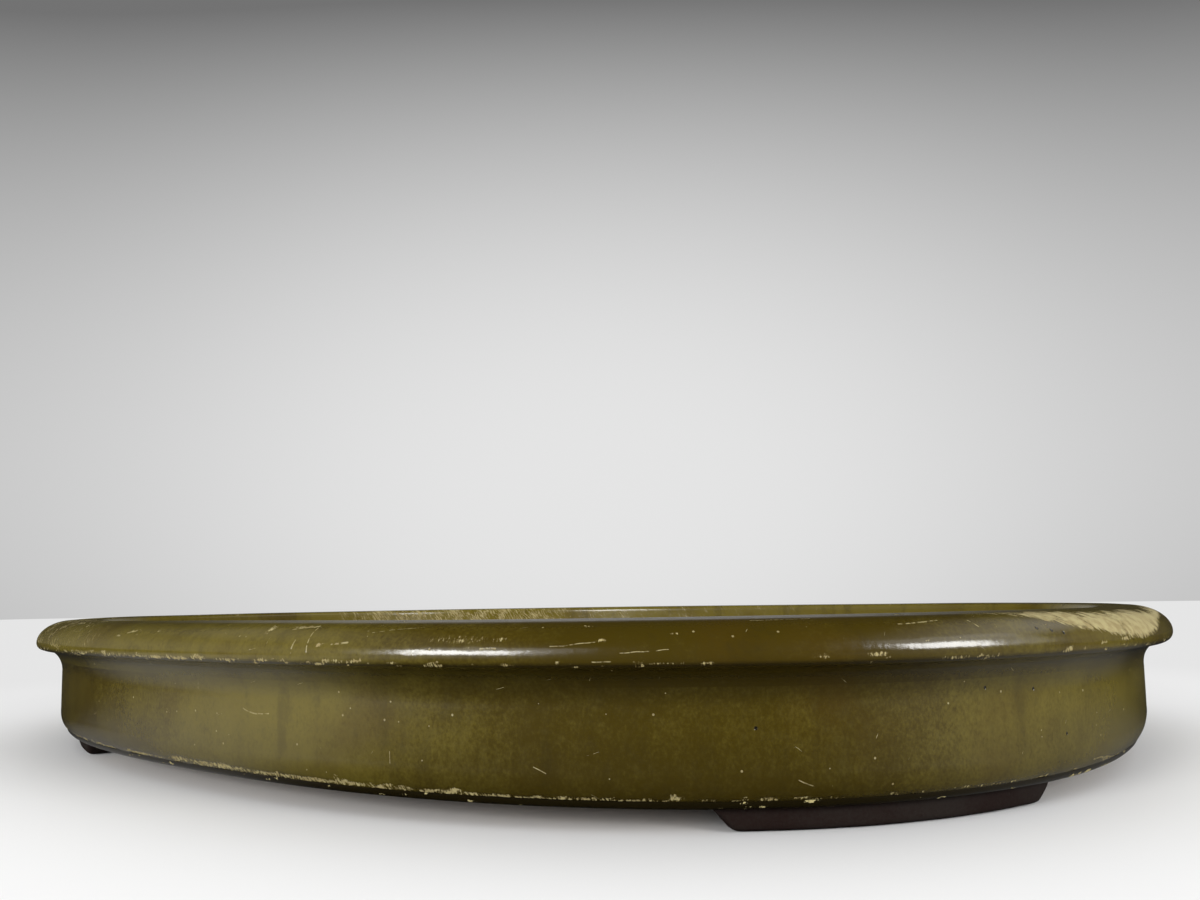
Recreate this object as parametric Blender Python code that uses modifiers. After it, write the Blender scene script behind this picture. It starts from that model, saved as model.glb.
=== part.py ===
"""Shallow oval bonsai pot with a heavy rounded lip and four curved feet.

Metres, +Z up, +X along the long axis. The origin is on the ground, under the middle of the pot.
Each ring of clay is a cross-section swept round one oval, which is the outermost line of the lip.
In a cross-section the first number is how far a point lies inside that line, and the second is
its height above the ground.
"""

import math

import bmesh
import bpy
from mathutils import Vector

MM = 0.001

# The oval: half its length and width, and how full its corners are (2 would be an ellipse)
LIP_HALF_LENGTH = 240 * MM
LIP_HALF_WIDTH = 204 * MM
OVAL_FULLNESS = 2.36
OVAL_SIDES = 80

# Gap left for the slip between two pieces of clay
CLEARANCE = 0.3 * MM

# Heights, from the ground up to the top of the lip
FOOT_HEIGHT = 6.0 * MM
BAND_HEIGHT = 2.0 * MM
WALL_HEIGHT = 20.5 * MM
COVE_HEIGHT = 9.7 * MM
LIP_EDGE_HEIGHT = 2.6 * MM
LIP_ROUND_HEIGHT = 7.9 * MM
LIP_CROWN = 0.3 * MM

# Lip: its width, how far it stands out from the wall, and the rounding of its three edges
LIP_WIDTH = 22.4 * MM
LIP_OVERHANG = 9.5 * MM
LIP_ROUND_DEPTH = 11.0 * MM
LIP_EDGE_DEPTH = 1.9 * MM
LIP_INNER_ROUND = 2.2 * MM
LIP_JOINT_TURN = math.radians(60)

# Wall: it leans in towards its toe, where it is rounded off through less than a quarter turn
WALL_TAPER = 0.8 * MM
TOE_DEPTH = 4.4 * MM
TOE_HEIGHT = 7.5 * MM
TOE_TURN = math.radians(65)

# Base slab: the band that shows below the wall, and the raised middle that fits inside the wall
BAND_DEPTH = 2.2 * MM
FLOOR_THICKNESS = 8.0 * MM
FLOOR_EDGE_ROUND = 0.8 * MM

# Coil pressed into the corner of wall and floor: the radius of its hollow face, and its blunt edges
COIL_RADIUS = 7.0 * MM
COIL_EDGE = 0.6 * MM

# Feet: arcs of the same oval, between two bearings from the long axis, with sloping ends
FOOT_FAR_BEARING = math.radians(21)
FOOT_NEAR_BEARING = math.radians(47)
LEFT_FEET_SHIFT = math.radians(17)
FOOT_SET_BACK = 1.6 * MM
FOOT_WIDTH = 20.0 * MM
FOOT_BATTER = 1.3 * MM
FOOT_END_SLOPE = math.radians(45)
FOOT_EDGE_ROUND = 1.2 * MM
FOOT_SIDES = 10

# Holes through the base slab: four to drain it and four for the wires that tie a tree down
DRAIN_RADIUS = 12.0 * MM
DRAIN_FLARE = 1.5 * MM
DRAIN_FROM_MIDDLE_X = 95.0 * MM
DRAIN_FROM_MIDDLE_Y = 62.0 * MM
TIE_RADIUS = 3.5 * MM
TIE_FLARE = 0.8 * MM
TIE_FROM_MIDDLE_X = 140.0 * MM
TIE_FROM_MIDDLE_Y = 100.0 * MM
HOLE_SIDES = 28
CUT_PAST = 5.0 * MM

# Heights where one piece meets the next
FLOOR_UNDERSIDE = FOOT_HEIGHT
FLOOR_STEP = FLOOR_UNDERSIDE + BAND_HEIGHT
FLOOR_TOP = FLOOR_UNDERSIDE + FLOOR_THICKNESS
COVE_BOTTOM = FLOOR_STEP + WALL_HEIGHT
COVE_TOP = COVE_BOTTOM + COVE_HEIGHT
LIP_OUTERMOST = COVE_TOP + LIP_EDGE_HEIGHT
LIP_SHOULDER = LIP_OUTERMOST + LIP_ROUND_HEIGHT
LIP_JOINT = COVE_BOTTOM + COVE_HEIGHT * math.cos(LIP_JOINT_TURN)

# Insets where one face meets the next
COVE_DEPTH = LIP_OVERHANG - LIP_EDGE_DEPTH
WALL_TOE_INSET = LIP_OVERHANG + WALL_TAPER
TOE_CENTRE_INSET = WALL_TOE_INSET + TOE_DEPTH
TOE_CENTRE_HEIGHT = FLOOR_STEP + TOE_HEIGHT * math.sin(TOE_TURN)
BAND_INSET = TOE_CENTRE_INSET - TOE_DEPTH * math.cos(TOE_TURN)
UNDERSIDE_INSET = BAND_INSET + BAND_DEPTH
FOOT_INSET = UNDERSIDE_INSET + FOOT_SET_BACK

MERGE_DISTANCE = 0.01 * MM


def clear_scene():
    for item in list(bpy.data.objects):
        bpy.data.objects.remove(item)


def new_collection(name):
    collection = bpy.data.collections.new(name)
    bpy.context.scene.collection.children.link(collection)
    return collection


def clay_material(name, colour, roughness):
    """Return a plain fired surface of one colour."""
    material = bpy.data.materials.new(name)
    material.use_nodes = True
    shader = material.node_tree.nodes["Principled BSDF"]
    shader.inputs["Base Color"].default_value = (*colour, 1)
    shader.inputs["Roughness"].default_value = roughness
    shader.inputs["Metallic"].default_value = 0
    material.diffuse_color = (*colour, 1)
    return material


def oval_point(bearing):
    """Return the point of the lip's outermost line that lies at a bearing from the long axis."""
    along = abs(math.cos(bearing) / LIP_HALF_LENGTH) ** OVAL_FULLNESS
    across = abs(math.sin(bearing) / LIP_HALF_WIDTH) ** OVAL_FULLNESS
    reach = (along + across) ** (-1 / OVAL_FULLNESS)
    return Vector((reach * math.cos(bearing), reach * math.sin(bearing), 0))


def elliptic_arc(centre, depth, height, start, end, steps):
    """Return points of an ellipse's arc, as inset and height, between two angles in radians."""
    points = []
    for step in range(steps + 1):
        angle = start + (end - start) * step / steps
        points.append((centre[0] + depth * math.cos(angle), centre[1] + height * math.sin(angle)))
    return points


def poly_curve(name, points, closed):
    """Return a curve object of straight edges through the points, all at one height."""
    curve = bpy.data.curves.new(name, "CURVE")
    curve.dimensions = "3D"
    curve.twist_mode = "Z_UP"
    spline = curve.splines.new("POLY")
    spline.points.add(len(points) - 1)
    for spline_point, point in zip(spline.points, points):
        spline_point.co = (point[0], point[1], 0, 1)
    spline.use_cyclic_u = closed
    curve_object = bpy.data.objects.new(name, curve)
    bpy.context.scene.collection.objects.link(curve_object)
    return curve_object


def swept_mesh(name, bearings, section, ring=True, hollow=True):
    """Sweep a cross-section along the oval and return the mesh, with its end caps or rims closed.

    The path runs clockwise, so that the section's first number points inwards. A ring goes all
    the way round. A section that isn't hollow is an open line, whose two rims are then filled
    across the oval.
    """
    line = [oval_point(bearing) for bearing in reversed(bearings)]
    path = poly_curve(name + "_path", line, closed=ring)
    profile = poly_curve(name + "_section", section, closed=hollow)
    path.data.bevel_mode = "OBJECT"
    path.data.bevel_object = profile
    path.data.use_fill_caps = not ring
    bpy.context.view_layer.update()
    graph = bpy.context.evaluated_depsgraph_get()
    mesh = bpy.data.meshes.new_from_object(path.evaluated_get(graph), depsgraph=graph)
    mesh.name = name
    bpy.data.objects.remove(path)
    bpy.data.objects.remove(profile)
    shape = bmesh.new()
    shape.from_mesh(mesh)
    bmesh.ops.remove_doubles(shape, verts=shape.verts, dist=MERGE_DISTANCE)
    close_rims(shape)
    shape.to_mesh(mesh)
    shape.free()
    return mesh


def close_rims(shape):
    """Fill every open rim with one face, and turn all faces outwards."""
    rims = [edge for edge in shape.edges if edge.is_boundary]
    if rims:
        bmesh.ops.holes_fill(shape, edges=rims, sides=0)
    bmesh.ops.recalc_face_normals(shape, faces=shape.faces)


def add_piece(name, mesh, material, collection):
    """Add a named piece of clay, smooth over its round stretches and sharp at its corners."""
    mesh.materials.clear()
    mesh.materials.append(material)
    mesh.shade_smooth()
    mesh.set_sharp_from_angle(angle=math.radians(35))
    piece = bpy.data.objects.new(name, mesh)
    collection.objects.link(piece)
    return piece


def whole_oval():
    return [math.tau * side / OVAL_SIDES for side in range(OVAL_SIDES)]


def cove_arc(start_turn, end_turn, steps):
    """Return points of the hollow under the lip, from level under the edge to upright on the wall."""
    centre = (LIP_EDGE_DEPTH, COVE_BOTTOM)
    quarter = math.pi / 2
    return elliptic_arc(centre, COVE_DEPTH, COVE_HEIGHT, quarter - start_turn, quarter - end_turn, steps)


def joint_inset():
    """Return how far inside the oval the joint of lip and wall comes out into the hollow."""
    return LIP_EDGE_DEPTH + COVE_DEPTH * math.sin(LIP_JOINT_TURN)


def make_lip(material, collection):
    """The rim: a quarter round outside, a low crown on top, and the upper part of the hollow."""
    round_centre = (LIP_ROUND_DEPTH, LIP_OUTERMOST)
    edge_centre = (LIP_EDGE_DEPTH, LIP_OUTERMOST)
    inner_centre = (LIP_WIDTH - LIP_INNER_ROUND, LIP_SHOULDER - LIP_INNER_ROUND)
    crown_start = LIP_ROUND_DEPTH
    crown_width = LIP_WIDTH - LIP_INNER_ROUND - LIP_ROUND_DEPTH
    section = [(LIP_WIDTH, LIP_JOINT + CLEARANCE)]
    section += elliptic_arc(inner_centre, LIP_INNER_ROUND, LIP_INNER_ROUND, 0, math.pi / 2, 3)
    for step in (3, 2, 1):
        share = step / 4
        rise = LIP_CROWN * math.sin(math.pi * share)
        section.append((crown_start + crown_width * share, LIP_SHOULDER + rise))
    section += elliptic_arc(round_centre, LIP_ROUND_DEPTH, LIP_ROUND_HEIGHT, math.pi / 2, math.pi, 7)
    section += elliptic_arc(edge_centre, LIP_EDGE_DEPTH, LIP_EDGE_HEIGHT, math.pi, 1.5 * math.pi, 3)[1:]
    section += cove_arc(0, LIP_JOINT_TURN, 4)[1:-1]
    section.append((joint_inset(), LIP_JOINT + CLEARANCE))
    mesh = swept_mesh("lip", whole_oval(), section)
    return add_piece("lip", mesh, material, collection)


def make_wall(material, collection):
    """The wall strip: the lower part of the hollow, a leaning face, and the rounded toe."""
    toe_centre = (TOE_CENTRE_INSET, TOE_CENTRE_HEIGHT)
    section = cove_arc(LIP_JOINT_TURN, math.pi / 2, 3)
    section += elliptic_arc(toe_centre, TOE_DEPTH, TOE_HEIGHT, math.pi, math.pi + TOE_TURN, 5)[:-1]
    section.append((BAND_INSET, FLOOR_STEP + CLEARANCE))
    section.append((LIP_WIDTH, FLOOR_STEP + CLEARANCE))
    section.append((LIP_WIDTH, LIP_JOINT))
    mesh = swept_mesh("wall", whole_oval(), section)
    return add_piece("wall", mesh, material, collection)


def make_floor(material, collection, cutters):
    """The base slab: its edge carries the wall, and its raised middle fits inside the wall."""
    middle_inset = LIP_WIDTH + CLEARANCE
    round_centre = (middle_inset + FLOOR_EDGE_ROUND, FLOOR_TOP - FLOOR_EDGE_ROUND)
    band_centre = (UNDERSIDE_INSET, FLOOR_STEP)
    section = elliptic_arc(round_centre, FLOOR_EDGE_ROUND, FLOOR_EDGE_ROUND, math.pi / 2, math.pi, 2)
    section.append((middle_inset, FLOOR_STEP))
    section += elliptic_arc(band_centre, BAND_DEPTH, BAND_HEIGHT, math.pi, 1.5 * math.pi, 4)
    mesh = swept_mesh("floor", whole_oval(), section, hollow=False)
    floor = add_piece("floor", mesh, material, collection)
    holes = floor.modifiers.new("holes", "BOOLEAN")
    holes.operation = "DIFFERENCE"
    holes.solver = "EXACT"
    holes.operand_type = "COLLECTION"
    holes.collection = cutters
    return floor


def make_hole_cutter(name, radius, flare, place, collection):
    """A turned plug that cuts one hole through the base slab and eases the hole's upper edge."""
    top = FLOOR_TOP + CUT_PAST
    bottom = FLOOR_UNDERSIDE - CUT_PAST
    outline = (
        (0, top),
        (radius + flare + CUT_PAST, top),
        (radius, FLOOR_TOP - flare),
        (radius, bottom),
        (0, bottom),
    )
    mesh = bpy.data.meshes.new(name)
    edges = [(corner, corner + 1) for corner in range(len(outline) - 1)]
    mesh.from_pydata([(reach, 0, height) for reach, height in outline], edges, [])
    cutter = bpy.data.objects.new(name, mesh)
    collection.objects.link(cutter)
    cutter.location = (*place, 0)
    turn = cutter.modifiers.new("turn", "SCREW")
    turn.steps = HOLE_SIDES
    turn.render_steps = HOLE_SIDES
    turn.use_merge_vertices = True
    turn.merge_threshold = MERGE_DISTANCE
    cutter.hide_render = True
    cutter.display_type = "WIRE"
    return cutter


def make_hole_cutters(collection):
    for end_name, end in (("left", -1), ("right", 1)):
        for side_name, side in (("front", -1), ("back", 1)):
            place = (end * DRAIN_FROM_MIDDLE_X, side * DRAIN_FROM_MIDDLE_Y)
            make_hole_cutter(f"drain_{side_name}_{end_name}", DRAIN_RADIUS, DRAIN_FLARE, place, collection)
            place = (end * TIE_FROM_MIDDLE_X, side * TIE_FROM_MIDDLE_Y)
            make_hole_cutter(f"tie_{side_name}_{end_name}", TIE_RADIUS, TIE_FLARE, place, collection)


def make_corner_coil(material, collection):
    """The coil that seals the inside corner: two flat faces against the clay and a hollow one."""
    corner_inset = LIP_WIDTH + CLEARANCE
    corner_height = FLOOR_TOP + CLEARANCE
    reach = COIL_RADIUS + COIL_EDGE
    centre = (corner_inset + reach, corner_height + reach)
    section = [(corner_inset, corner_height)]
    section.append((corner_inset, corner_height + reach))
    section += elliptic_arc(centre, COIL_RADIUS, COIL_RADIUS, math.pi, 1.5 * math.pi, 5)
    section.append((corner_inset + reach, corner_height))
    mesh = swept_mesh("corner_coil", whole_oval(), section)
    return add_piece("corner_coil", mesh, material, collection)


def slope_end(shape, top_corner, outwards):
    """Cut one end of a foot back along a plane that leans in from its top corner."""
    lean = Vector((0, 0, -math.tan(FOOT_END_SLOPE)))
    everything = shape.verts[:] + shape.edges[:] + shape.faces[:]
    cut_normal = (outwards.normalized() + lean).normalized()
    bmesh.ops.bisect_plane(
        shape,
        geom=everything,
        dist=MERGE_DISTANCE,
        plane_co=top_corner,
        plane_no=cut_normal,
        clear_outer=True,
    )
    close_rims(shape)


def make_foot(name, start, end, material, collection):
    """A curved foot between two bearings, battered inwards, with ends that slope in to the ground."""
    top = FLOOR_UNDERSIDE - CLEARANCE
    section = (
        (FOOT_INSET, top),
        (FOOT_INSET + FOOT_BATTER, 0),
        (FOOT_INSET + FOOT_WIDTH - FOOT_BATTER, 0),
        (FOOT_INSET + FOOT_WIDTH, top),
    )
    bearings = [start + (end - start) * side / FOOT_SIDES for side in range(FOOT_SIDES + 1)]
    mesh = swept_mesh(name, bearings, section, ring=False)
    shape = bmesh.new()
    shape.from_mesh(mesh)
    for tip, before in ((bearings[0], bearings[1]), (bearings[-1], bearings[-2])):
        corner = oval_point(tip)
        outwards = corner - oval_point(before)
        slope_end(shape, corner + Vector((0, 0, top)), outwards)
    shape.to_mesh(mesh)
    shape.free()
    foot = add_piece(name, mesh, material, collection)
    edges = foot.modifiers.new("worn_edges", "BEVEL")
    edges.width = FOOT_EDGE_ROUND
    edges.segments = 2
    edges.limit_method = "ANGLE"
    edges.angle_limit = math.radians(30)
    return foot


def make_feet(material, collection):
    """Four feet, one for each quarter of the oval. The left pair stands a little nearer the middle."""
    right = (FOOT_FAR_BEARING, FOOT_NEAR_BEARING)
    left = (FOOT_FAR_BEARING + LEFT_FEET_SHIFT, FOOT_NEAR_BEARING + LEFT_FEET_SHIFT)
    make_foot("foot_back_right", right[0], right[1], material, collection)
    make_foot("foot_back_left", math.pi - left[1], math.pi - left[0], material, collection)
    make_foot("foot_front_left", math.pi + left[0], math.pi + left[1], material, collection)
    make_foot("foot_front_right", -right[1], -right[0], material, collection)


def build_pot():
    clear_scene()
    pot = new_collection("oval_bonsai_pot")
    cutters = new_collection("oval_bonsai_pot_cutters")
    glaze = clay_material("olive_glaze", (0.098, 0.082, 0.024), 0.22)
    lip_glaze = clay_material("olive_lip_glaze", (0.098, 0.082, 0.030), 0.18)
    bare_clay = clay_material("bare_clay", (0.26, 0.19, 0.12), 0.85)
    coil_clay = clay_material("coil_clay", (0.27, 0.20, 0.13), 0.85)
    foot_clay = clay_material("foot_clay", (0.035, 0.022, 0.018), 0.70)
    make_hole_cutters(cutters)
    make_lip(lip_glaze, pot)
    make_wall(glaze, pot)
    make_floor(bare_clay, pot, cutters)
    make_corner_coil(coil_clay, pot)
    make_feet(foot_clay, pot)


build_pot()
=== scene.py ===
# %% [markdown]
# # A shallow oval bonsai pot
# The pot is a tray of glazed stoneware. A heavy rounded lip stands out over a low wall, the wall
# stands on the edge of a flat floor, and four curved feet lift the floor off the shelf. This lesson
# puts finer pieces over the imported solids, wears their edges, and mixes glaze and clay from noise.

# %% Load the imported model
import math
import random
from contextlib import contextmanager

import bpy
import numpy as np
from mathutils import Matrix, Vector, noise


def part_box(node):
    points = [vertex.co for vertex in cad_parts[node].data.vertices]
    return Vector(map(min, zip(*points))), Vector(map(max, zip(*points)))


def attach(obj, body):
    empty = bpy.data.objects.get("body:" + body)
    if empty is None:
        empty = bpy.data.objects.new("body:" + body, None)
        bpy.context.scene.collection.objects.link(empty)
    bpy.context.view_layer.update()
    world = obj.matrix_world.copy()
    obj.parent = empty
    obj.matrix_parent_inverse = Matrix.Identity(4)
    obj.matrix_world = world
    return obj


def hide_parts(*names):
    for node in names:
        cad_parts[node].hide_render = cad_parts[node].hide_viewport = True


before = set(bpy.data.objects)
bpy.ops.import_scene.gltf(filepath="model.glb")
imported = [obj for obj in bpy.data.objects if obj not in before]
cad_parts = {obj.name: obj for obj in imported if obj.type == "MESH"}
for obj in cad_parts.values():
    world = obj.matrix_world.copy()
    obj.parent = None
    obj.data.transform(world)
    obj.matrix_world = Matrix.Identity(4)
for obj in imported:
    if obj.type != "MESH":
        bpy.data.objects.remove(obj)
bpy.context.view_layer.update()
print("pieces in the packed model:", ", ".join(sorted(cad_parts)))

# %% [markdown]
# ## Sizes
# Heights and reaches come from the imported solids, so that the finer pieces fit them. The roundings
# are named here. An inset is how far a point lies inside the outermost line of the lip. Sizes are in
# millimetres until a mesh is written.

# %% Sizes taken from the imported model, in millimetres
MM = 0.001
lip_low, lip_high = (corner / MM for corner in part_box("lip"))
wall_low, wall_high = (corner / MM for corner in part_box("wall"))
floor_low, floor_high = (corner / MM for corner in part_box("floor"))
foot_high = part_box("foot_front_right")[1] / MM

HALF_LENGTH = lip_high.x
HALF_WIDTH = lip_high.y
POT_TOP = lip_high.z
JOINT_HEIGHT = (lip_low.z + wall_high.z) / 2
UNDERSIDE = floor_low.z
FLOOR_TOP = floor_high.z
SLIP_GAP = UNDERSIDE - foot_high.z
BAND_TOP = wall_low.z - SLIP_GAP
print(f"the pot is {2 * HALF_LENGTH:.0f} by {2 * HALF_WIDTH:.0f} by {POT_TOP:.0f} mm")

# %% Sizes of the roundings, in millimetres
FULLNESS = 2.36
LIP_WIDTH = 22.4
LIP_OVERHANG = 9.5
LIP_ROUND_DEPTH = 11.0
LIP_ROUND_HEIGHT = 7.9
LIP_EDGE_DEPTH = 1.9
LIP_EDGE_HEIGHT = 2.6
LIP_INNER_ROUND = 2.2
LIP_CROWN = 0.3
COVE_HEIGHT = 9.7
WALL_TAPER = 0.8
TOE_DEPTH = 4.4
TOE_HEIGHT = 7.5
TOE_TURN = math.radians(65)
BAND_DEPTH = 2.2
FLOOR_EDGE_ROUND = 0.8
COIL_REACH = 7.6
COIL_EDGE = 0.6

LIP_SHOULDER = POT_TOP - LIP_CROWN
LIP_OUTERMOST = LIP_SHOULDER - LIP_ROUND_HEIGHT
COVE_BOTTOM = LIP_OUTERMOST - LIP_EDGE_HEIGHT - COVE_HEIGHT
COVE_DEPTH = LIP_OVERHANG - LIP_EDGE_DEPTH
JOINT_ANGLE = math.asin((JOINT_HEIGHT - COVE_BOTTOM) / COVE_HEIGHT)
JOINT_INSET = LIP_EDGE_DEPTH + COVE_DEPTH * math.cos(JOINT_ANGLE)
TOE_CENTRE_INSET = LIP_OVERHANG + WALL_TAPER + TOE_DEPTH
TOE_CENTRE_HEIGHT = BAND_TOP + TOE_HEIGHT * math.sin(TOE_TURN)
BAND_INSET = TOE_CENTRE_INSET - TOE_DEPTH * math.cos(TOE_TURN)
UNDERSIDE_INSET = BAND_INSET + BAND_DEPTH
print(f"the wall meets the floor's band {BAND_INSET:.1f} mm inside the lip")

# %% [markdown]
# ## Camera
# The photograph was taken with a wide lens only a few millimetres above the rim, which sees the lip
# nearly edge on. From this place, with this turn and tilt, the solids fall on its outline.

# %% Place the camera
CAMERA_PLACE = Vector((240.6, -333.7, 52.65))
CAMERA_TURN = math.radians(34.0)
CAMERA_TILT = math.radians(10.34)
CAMERA_ROLL = math.radians(-0.91)
CAMERA_LENS = 24.9

camera_turned = Matrix.Rotation(CAMERA_TURN, 3, "Z") @ Matrix.Rotation(math.pi / 2 + CAMERA_TILT, 3, "X")
camera_turned = camera_turned @ Matrix.Rotation(CAMERA_ROLL, 3, "Z")
bpy.ops.object.camera_add(location=CAMERA_PLACE * MM, rotation=camera_turned.to_euler())
camera = bpy.context.object
camera.data.sensor_width = 36
camera.data.lens = CAMERA_LENS
camera.data.clip_start = 0.01
bpy.context.scene.camera = camera
print(f"the lens is {CAMERA_PLACE.z - POT_TOP:.1f} mm above the rim")

# %% [markdown]
# ## Helpers for modelling
# Most pieces are rings with one cross-section. A potter would throw such a ring on the wheel and
# push it into an oval while it is soft. The same two steps work here: a cross-section is turned
# round the axis, and each point then moves to the same inset on the oval. Operators act on whatever
# is selected, so the first helpers select one piece and work inside it.

# %% Select one piece, work inside it, and give it a modifier
def select_only(piece):
    bpy.ops.object.select_all(action="DESELECT")
    piece.select_set(True)
    bpy.context.view_layer.objects.active = piece


@contextmanager
def inside(piece):
    """Select a piece, and stay in edit mode until the block ends."""
    select_only(piece)
    bpy.ops.object.mode_set(mode="EDIT")
    yield
    bpy.ops.object.mode_set(mode="OBJECT")


def deselect_inside(piece, kind):
    """Deselect a piece's vertices, edges and faces, and leave it ready to select one kind."""
    with inside(piece):
        bpy.ops.mesh.select_mode(type=kind)
        bpy.ops.mesh.select_all(action="DESELECT")


def apply_modifier(piece, kind, **settings):
    select_only(piece)
    modifier = piece.modifiers.new(kind.lower(), kind)
    for name, setting in settings.items():
        setattr(modifier, name, setting)
    bpy.ops.object.modifier_apply(modifier=modifier.name)


# %% Draw arcs and straight stretches of a cross-section
QUARTER = math.pi / 2


def arc(centre, depth, height, start, end, steps):
    """Return points on an ellipse's arc, without its last point."""
    angles = [start + (end - start) * step / steps for step in range(steps)]
    return [(centre[0] + depth * math.cos(a), centre[1] + height * math.sin(a)) for a in angles]


def line(start, end, steps):
    """Return points on a straight line, without its last point."""
    shares = [step / steps for step in range(steps)]
    return [(start[0] + (end[0] - start[0]) * s, start[1] + (end[1] - start[1]) * s) for s in shares]


# %% [markdown]
# The Screw modifier turns a flat outline round the Z axis. The outline starts as a circle whose
# points are slid into place. The attribute `along` keeps each point's distance along the section,
# because the glaze later needs to know how near a worn edge is.

# %% Turn an outline round the axis
WHEEL_RADIUS = 300.0
RING_STEPS = 1080
WELD = 0.01


def turn_outline(name, outline, steps, closed):
    """Turn points, given as distance from the axis and height, into a named round piece."""
    bpy.ops.object.select_all(action="DESELECT")
    bpy.ops.mesh.primitive_circle_add(vertices=len(outline), radius=1)
    turned = bpy.context.object
    turned.name = name
    turned.data.name = name
    along = turned.data.attributes.new("along", "FLOAT", "POINT")
    travelled = 0.0
    before = outline[0]
    for point, place, mark in zip(turned.data.vertices, outline, along.data):
        travelled += math.dist(before, place)
        before = place
        point.co = Vector((place[0], 0, place[1])) * MM
        mark.value = travelled
    if not closed:
        open_outline(turned)
    weld = {"use_merge_vertices": True, "merge_threshold": WELD * MM}
    apply_modifier(turned, "SCREW", steps=steps, render_steps=steps, **weld)
    return turned


def open_outline(outline):
    """Delete the edge that joins an outline's last point to its first."""
    last = len(outline.data.vertices) - 1
    deselect_inside(outline, "EDGE")
    for edge in outline.data.edges:
        edge.select = set(edge.vertices) == {0, last}
    with inside(outline):
        bpy.ops.mesh.delete(type="EDGE_FACE")


def turn_ring(name, section, closed=True):
    """Turn a cross-section, given as inset and height, into a round ring of clay."""
    outline = [(WHEEL_RADIUS - inset, height) for inset, height in section]
    return turn_outline(name, outline, RING_STEPS, closed)


# %% Read and write a piece's points, in millimetres, and its marks
def read_all(rows, name, width=1, kind=float):
    """Return one value, or one row of values, from each of a mesh's points, corners or faces."""
    values = np.empty(len(rows) * width, dtype=kind)
    rows.foreach_get(name, values)
    return values.reshape(-1, width).squeeze()


def read_points(piece):
    return read_all(piece.data.vertices, "co", 3) / MM


def write_points(piece, places):
    piece.data.vertices.foreach_set("co", (places * MM).ravel())
    piece.data.update()


def read_mark(piece, name):
    return read_all(piece.data.attributes[name].data, "value")


def write_mark(piece, name, marks):
    attribute = piece.data.attributes.get(name) or piece.data.attributes.new(name, "FLOAT", "POINT")
    attribute.data.foreach_set("value", marks)


# %% [markdown]
# The oval is a little fuller at its corners than an ellipse. A point's bearing is its direction
# from the middle in degrees, with 0 at the right end and -90 at the front. It is kept on the mesh
# too, so that a chip can be placed by its bearing.

# %% Push a round ring into the oval
def oval_line(bearings):
    """Return points of the lip's outermost line, and the outward directions there."""
    halves = (HALF_LENGTH, HALF_WIDTH)
    directions = np.stack([np.cos(bearings), np.sin(bearings)], axis=1)
    shares = directions / halves
    reach = (abs(shares) ** FULLNESS).sum(axis=1, keepdims=True) ** (-1 / FULLNESS)
    outward = np.sign(shares) * abs(shares * reach) ** (FULLNESS - 1) / halves
    return reach * directions, outward / np.linalg.norm(outward, axis=1, keepdims=True)


def lay_on_oval(piece, bearings, insets):
    """Put each point of a piece at its bearing and inset, and keep its height."""
    points, outward = oval_line(bearings)
    places = read_points(piece)
    places[:, :2] = points - outward * insets[:, None]
    write_points(piece, places)
    write_mark(piece, "bearing", np.degrees(bearings))


def push_to_oval(ring):
    places = read_points(ring)
    bearings = np.arctan2(places[:, 1], places[:, 0])
    lay_on_oval(ring, bearings, WHEEL_RADIUS - np.hypot(places[:, 0], places[:, 1]))


# %% [markdown]
# Clay that was smoothed by hand is never quite true. Noise pulls the surface inwards: a slow sway,
# and a fine ripple that makes the highlights waver. It only depends on the place, so pieces that
# meet still meet, and it only pulls inwards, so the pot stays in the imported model's box.

# %% Let the clay wander
SWAY = 0.5
SWAY_LENGTH = 75.0
SETTLE = 0.45
RIPPLE = 0.1
RIPPLE_LENGTH = 14.0


def share_of_noise(places, length):
    """Return smooth noise between 0 and 1 at each place, for bumps of about this length."""
    return np.array([noise.noise(Vector(place) / length) for place in places]) / 2 + 0.5


def wander(piece):
    places = read_points(piece)
    flat = places * (1, 1, 0)
    inwards = SWAY * share_of_noise(flat, SWAY_LENGTH) + RIPPLE * share_of_noise(places, RIPPLE_LENGTH)
    reach = np.hypot(places[:, 0], places[:, 1])
    places[:, :2] *= (1 - inwards / reach)[:, None]
    height_share = np.clip((places[:, 2] - FLOOR_TOP) / (POT_TOP - FLOOR_TOP), 0, 1)
    places[:, 2] -= SETTLE * height_share * share_of_noise(flat + (40, 0, 0), SWAY_LENGTH)
    write_points(piece, places)


# %% Close a piece's seams and smooth its round stretches
SHARP_ANGLE = math.radians(38)


def finish_mesh(piece):
    with inside(piece):
        bpy.ops.mesh.select_all(action="SELECT")
        bpy.ops.mesh.remove_doubles(threshold=WELD * MM)
        bpy.ops.mesh.normals_make_consistent(inside=False)
        bpy.ops.mesh.select_all(action="DESELECT")
    bpy.ops.object.shade_smooth_by_angle(angle=SHARP_ANGLE)
    print(piece.name, "has", len(piece.data.polygons), "faces")


# %% [markdown]
# ## Lip
# The lip is the moulding that catches the light: a quarter round outside, a crown that is almost
# flat, a small round towards the soil, and a turned lower edge that runs into a hollow. Its points
# lie about half a millimetre apart where light will play on it.

# %% Draw the cross-section of the lip and turn it
CROWN_STEPS = 14
inner_top = (LIP_WIDTH - LIP_INNER_ROUND, LIP_SHOULDER - LIP_INNER_ROUND)
round_centre = (LIP_ROUND_DEPTH, LIP_OUTERMOST)
edge_centre = (LIP_EDGE_DEPTH, LIP_OUTERMOST)
cove_centre = (LIP_EDGE_DEPTH, COVE_BOTTOM)
joint_outer = (JOINT_INSET, JOINT_HEIGHT)
joint_inner = (LIP_WIDTH, JOINT_HEIGHT)

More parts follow.
